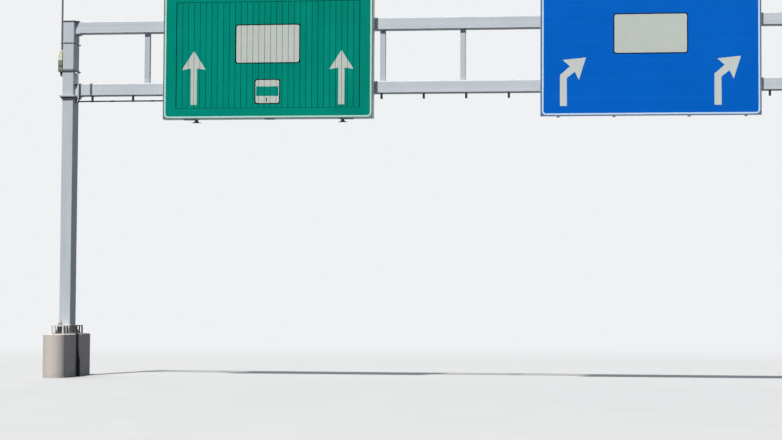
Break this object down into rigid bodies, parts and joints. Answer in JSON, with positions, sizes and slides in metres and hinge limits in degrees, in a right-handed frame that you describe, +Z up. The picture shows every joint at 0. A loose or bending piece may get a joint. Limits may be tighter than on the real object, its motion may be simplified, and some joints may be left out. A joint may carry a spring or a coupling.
{
  "type": "overhead sign gantry",
  "caption": "Steel portal gantry over a road with a ladder beam, a direction sign of turning prisms and a flat lane sign.",
  "frame": {"origin": "on the ground, midway between the two plinths and on the beam's middle plane", "axes": "+X along the beam, +Y away from the approaching traffic, +Z up; the signs face -Y"},
  "size_m": [16.86, 2.1996, 8.21],
  "materials": {
    "concrete": "cast, weathered",
    "frame_paint": "satin grey paint, dusty",
    "galvanised_steel": "dull hot-dip zinc",
    "sign_aluminium": "mill finish, dull",
    "green_sign_face": "retroreflective sheeting",
    "blue_sign_face": "retroreflective sheeting",
    "dark_conduit": "matt",
    "pale_conduit": "matt",
    "dark_steel": "matt dark paint",
    "box_paint": "powder coat, pale yellow-green"
  },
  "bodies": {
    "gantry": {"plinth_left": "concrete", "plinth_right": "concrete", "anchor_chair_left": "galvanised_steel", "anchor_chair_right": "galvanised_steel", "column_left": "frame_paint", "column_right": "frame_paint", "column_head_left": "frame_paint", "column_head_right": "frame_paint", "lower_chord": "frame_paint", "upper_chord": "frame_paint", "beam_posts": "frame_paint", "beam_clamps": "galvanised_steel", "sign_case": "sign_aluminium", "sign_front_frame": "green_sign_face", "sign_hangers": "galvanised_steel", "sign_shelves": "galvanised_steel", "bearing_rail_bottom": "galvanised_steel", "bearing_rail_top": "galvanised_steel", "lane_sign_panel": "blue_sign_face", "lane_sign_rails": "sign_aluminium", "lane_sign_arms": "galvanised_steel", "cable_conduit": "dark_conduit", "conduit_hangers": "galvanised_steel", "cable_loop": "pale_conduit", "mast": "dark_steel", "mast_bands": "dark_steel", "equipment_box": "box_paint"},
    "prism_01": {"prism_01": "green_sign_face"},
    "prism_02": {"prism_02": "green_sign_face"},
    "prism_03": {"prism_03": "green_sign_face"},
    "prism_04": {"prism_04": "green_sign_face"},
    "prism_05": {"prism_05": "green_sign_face"},
    "prism_06": {"prism_06": "green_sign_face"},
    "prism_07": {"prism_07": "green_sign_face"},
    "prism_08": {"prism_08": "green_sign_face"},
    "prism_09": {"prism_09": "green_sign_face"},
    "prism_10": {"prism_10": "green_sign_face"},
    "prism_11": {"prism_11": "green_sign_face"},
    "prism_12": {"prism_12": "green_sign_face"},
    "prism_13": {"prism_13": "green_sign_face"},
    "prism_14": {"prism_14": "green_sign_face"},
    "prism_15": {"prism_15": "green_sign_face"},
    "prism_16": {"prism_16": "green_sign_face"},
    "prism_17": {"prism_17": "green_sign_face"},
    "prism_18": {"prism_18": "green_sign_face"},
    "prism_19": {"prism_19": "green_sign_face"},
    "prism_20": {"prism_20": "green_sign_face"},
    "prism_21": {"prism_21": "green_sign_face"},
    "prism_22": {"prism_22": "green_sign_face"},
    "prism_23": {"prism_23": "green_sign_face"},
    "prism_24": {"prism_24": "green_sign_face"},
    "prism_25": {"prism_25": "green_sign_face"},
    "prism_26": {"prism_26": "green_sign_face"},
    "prism_27": {"prism_27": "green_sign_face"},
    "prism_28": {"prism_28": "green_sign_face"},
    "prism_29": {"prism_29": "green_sign_face"},
    "prism_30": {"prism_30": "green_sign_face"},
    "prism_31": {"prism_31": "green_sign_face"}
  },
  "joints": [
    {"name": "prism_01_turn", "type": "hinge", "parent": "gantry", "child": "prism_01", "pos_m": [-5.79224, -0.37123, 6.585], "axis": [0, 0, 1], "range_deg": [-120, 120]},
    {"name": "prism_02_turn", "type": "hinge", "parent": "gantry", "child": "prism_02", "pos_m": [-5.67024, -0.37123, 6.585], "axis": [0, 0, 1], "range_deg": [-120, 120]},
    {"name": "prism_03_turn", "type": "hinge", "parent": "gantry", "child": "prism_03", "pos_m": [-5.54824, -0.37123, 6.585], "axis": [0, 0, 1], "range_deg": [-120, 120]},
    {"name": "prism_04_turn", "type": "hinge", "parent": "gantry", "child": "prism_04", "pos_m": [-5.42624, -0.37123, 6.585], "axis": [0, 0, 1], "range_deg": [-120, 120]},
    {"name": "prism_05_turn", "type": "hinge", "parent": "gantry", "child": "prism_05", "pos_m": [-5.30424, -0.37123, 6.585], "axis": [0, 0, 1], "range_deg": [-120, 120]},
    {"name": "prism_06_turn", "type": "hinge", "parent": "gantry", "child": "prism_06", "pos_m": [-5.18224, -0.37123, 6.585], "axis": [0, 0, 1], "range_deg": [-120, 120]},
    {"name": "prism_07_turn", "type": "hinge", "parent": "gantry", "child": "prism_07", "pos_m": [-5.06024, -0.37123, 6.585], "axis": [0, 0, 1], "range_deg": [-120, 120]},
    {"name": "prism_08_turn", "type": "hinge", "parent": "gantry", "child": "prism_08", "pos_m": [-4.93824, -0.37123, 6.585], "axis": [0, 0, 1], "range_deg": [-120, 120]},
    {"name": "prism_09_turn", "type": "hinge", "parent": "gantry", "child": "prism_09", "pos_m": [-4.81624, -0.37123, 6.585], "axis": [0, 0, 1], "range_deg": [-120, 120]},
    {"name": "prism_10_turn", "type": "hinge", "parent": "gantry", "child": "prism_10", "pos_m": [-4.69424, -0.37123, 6.585], "axis": [0, 0, 1], "range_deg": [-120, 120]},
    {"name": "prism_11_turn", "type": "hinge", "parent": "gantry", "child": "prism_11", "pos_m": [-4.57224, -0.37123, 6.585], "axis": [0, 0, 1], "range_deg": [-120, 120]},
    {"name": "prism_12_turn", "type": "hinge", "parent": "gantry", "child": "prism_12", "pos_m": [-4.45024, -0.37123, 6.585], "axis": [0, 0, 1], "range_deg": [-120, 120]},
    {"name": "prism_13_turn", "type": "hinge", "parent": "gantry", "child": "prism_13", "pos_m": [-4.32824, -0.37123, 6.585], "axis": [0, 0, 1], "range_deg": [-120, 120]},
    {"name": "prism_14_turn", "type": "hinge", "parent": "gantry", "child": "prism_14", "pos_m": [-4.20624, -0.37123, 6.585], "axis": [0, 0, 1], "range_deg": [-120, 120]},
    {"name": "prism_15_turn", "type": "hinge", "parent": "gantry", "child": "prism_15", "pos_m": [-4.08424, -0.37123, 6.585], "axis": [0, 0, 1], "range_deg": [-120, 120]},
    {"name": "prism_16_turn", "type": "hinge", "parent": "gantry", "child": "prism_16", "pos_m": [-3.96224, -0.37123, 6.585], "axis": [0, 0, 1], "range_deg": [-120, 120]},
    {"name": "prism_17_turn", "type": "hinge", "parent": "gantry", "child": "prism_17", "pos_m": [-3.84024, -0.37123, 6.585], "axis": [0, 0, 1], "range_deg": [-120, 120]},
    {"name": "prism_18_turn", "type": "hinge", "parent": "gantry", "child": "prism_18", "pos_m": [-3.71824, -0.37123, 6.585], "axis": [0, 0, 1], "range_deg": [-120, 120]},
    {"name": "prism_19_turn", "type": "hinge", "parent": "gantry", "child": "prism_19", "pos_m": [-3.59624, -0.37123, 6.585], "axis": [0, 0, 1], "range_deg": [-120, 120]},
    {"name": "prism_20_turn", "type": "hinge", "parent": "gantry", "child": "prism_20", "pos_m": [-3.47424, -0.37123, 6.585], "axis": [0, 0, 1], "range_deg": [-120, 120]},
    {"name": "prism_21_turn", "type": "hinge", "parent": "gantry", "child": "prism_21", "pos_m": [-3.35224, -0.37123, 6.585], "axis": [0, 0, 1], "range_deg": [-120, 120]},
    {"name": "prism_22_turn", "type": "hinge", "parent": "gantry", "child": "prism_22", "pos_m": [-3.23024, -0.37123, 6.585], "axis": [0, 0, 1], "range_deg": [-120, 120]},
    {"name": "prism_23_turn", "type": "hinge", "parent": "gantry", "child": "prism_23", "pos_m": [-3.10824, -0.37123, 6.585], "axis": [0, 0, 1], "range_deg": [-120, 120]},
    {"name": "prism_24_turn", "type": "hinge", "parent": "gantry", "child": "prism_24", "pos_m": [-2.98624, -0.37123, 6.585], "axis": [0, 0, 1], "range_deg": [-120, 120]},
    {"name": "prism_25_turn", "type": "hinge", "parent": "gantry", "child": "prism_25", "pos_m": [-2.86424, -0.37123, 6.585], "axis": [0, 0, 1], "range_deg": [-120, 120]},
    {"name": "prism_26_turn", "type": "hinge", "parent": "gantry", "child": "prism_26", "pos_m": [-2.74224, -0.37123, 6.585], "axis": [0, 0, 1], "range_deg": [-120, 120]},
    {"name": "prism_27_turn", "type": "hinge", "parent": "gantry", "child": "prism_27", "pos_m": [-2.62024, -0.37123, 6.585], "axis": [0, 0, 1], "range_deg": [-120, 120]},
    {"name": "prism_28_turn", "type": "hinge", "parent": "gantry", "child": "prism_28", "pos_m": [-2.49824, -0.37123, 6.585], "axis": [0, 0, 1], "range_deg": [-120, 120]},
    {"name": "prism_29_turn", "type": "hinge", "parent": "gantry", "child": "prism_29", "pos_m": [-2.37624, -0.37123, 6.585], "axis": [0, 0, 1], "range_deg": [-120, 120]},
    {"name": "prism_30_turn", "type": "hinge", "parent": "gantry", "child": "prism_30", "pos_m": [-2.25424, -0.37123, 6.585], "axis": [0, 0, 1], "range_deg": [-120, 120]},
    {"name": "prism_31_turn", "type": "hinge", "parent": "gantry", "child": "prism_31", "pos_m": [-2.13224, -0.37123, 6.585], "axis": [0, 0, 1], "range_deg": [-120, 120]}
  ],
  "couplings": [
    {"joint": "prism_02_turn", "follows": "prism_01_turn", "ratio": 1},
    {"joint": "prism_03_turn", "follows": "prism_01_turn", "ratio": 1},
    {"joint": "prism_04_turn", "follows": "prism_01_turn", "ratio": 1},
    {"joint": "prism_05_turn", "follows": "prism_01_turn", "ratio": 1},
    {"joint": "prism_06_turn", "follows": "prism_01_turn", "ratio": 1},
    {"joint": "prism_07_turn", "follows": "prism_01_turn", "ratio": 1},
    {"joint": "prism_08_turn", "follows": "prism_01_turn", "ratio": 1},
    {"joint": "prism_09_turn", "follows": "prism_01_turn", "ratio": 1},
    {"joint": "prism_10_turn", "follows": "prism_01_turn", "ratio": 1},
    {"joint": "prism_11_turn", "follows": "prism_01_turn", "ratio": 1},
    {"joint": "prism_12_turn", "follows": "prism_01_turn", "ratio": 1},
    {"joint": "prism_13_turn", "follows": "prism_01_turn", "ratio": 1},
    {"joint": "prism_14_turn", "follows": "prism_01_turn", "ratio": 1},
    {"joint": "prism_15_turn", "follows": "prism_01_turn", "ratio": 1},
    {"joint": "prism_16_turn", "follows": "prism_01_turn", "ratio": 1},
    {"joint": "prism_17_turn", "follows": "prism_01_turn", "ratio": 1},
    {"joint": "prism_18_turn", "follows": "prism_01_turn", "ratio": 1},
    {"joint": "prism_19_turn", "follows": "prism_01_turn", "ratio": 1},
    {"joint": "prism_20_turn", "follows": "prism_01_turn", "ratio": 1},
    {"joint": "prism_21_turn", "follows": "prism_01_turn", "ratio": 1},
    {"joint": "prism_22_turn", "follows": "prism_01_turn", "ratio": 1},
    {"joint": "prism_23_turn", "follows": "prism_01_turn", "ratio": 1},
    {"joint": "prism_24_turn", "follows": "prism_01_turn", "ratio": 1},
    {"joint": "prism_25_turn", "follows": "prism_01_turn", "ratio": 1},
    {"joint": "prism_26_turn", "follows": "prism_01_turn", "ratio": 1},
    {"joint": "prism_27_turn", "follows": "prism_01_turn", "ratio": 1},
    {"joint": "prism_28_turn", "follows": "prism_01_turn", "ratio": 1},
    {"joint": "prism_29_turn", "follows": "prism_01_turn", "ratio": 1},
    {"joint": "prism_30_turn", "follows": "prism_01_turn", "ratio": 1},
    {"joint": "prism_31_turn", "follows": "prism_01_turn", "ratio": 1}
  ]
}
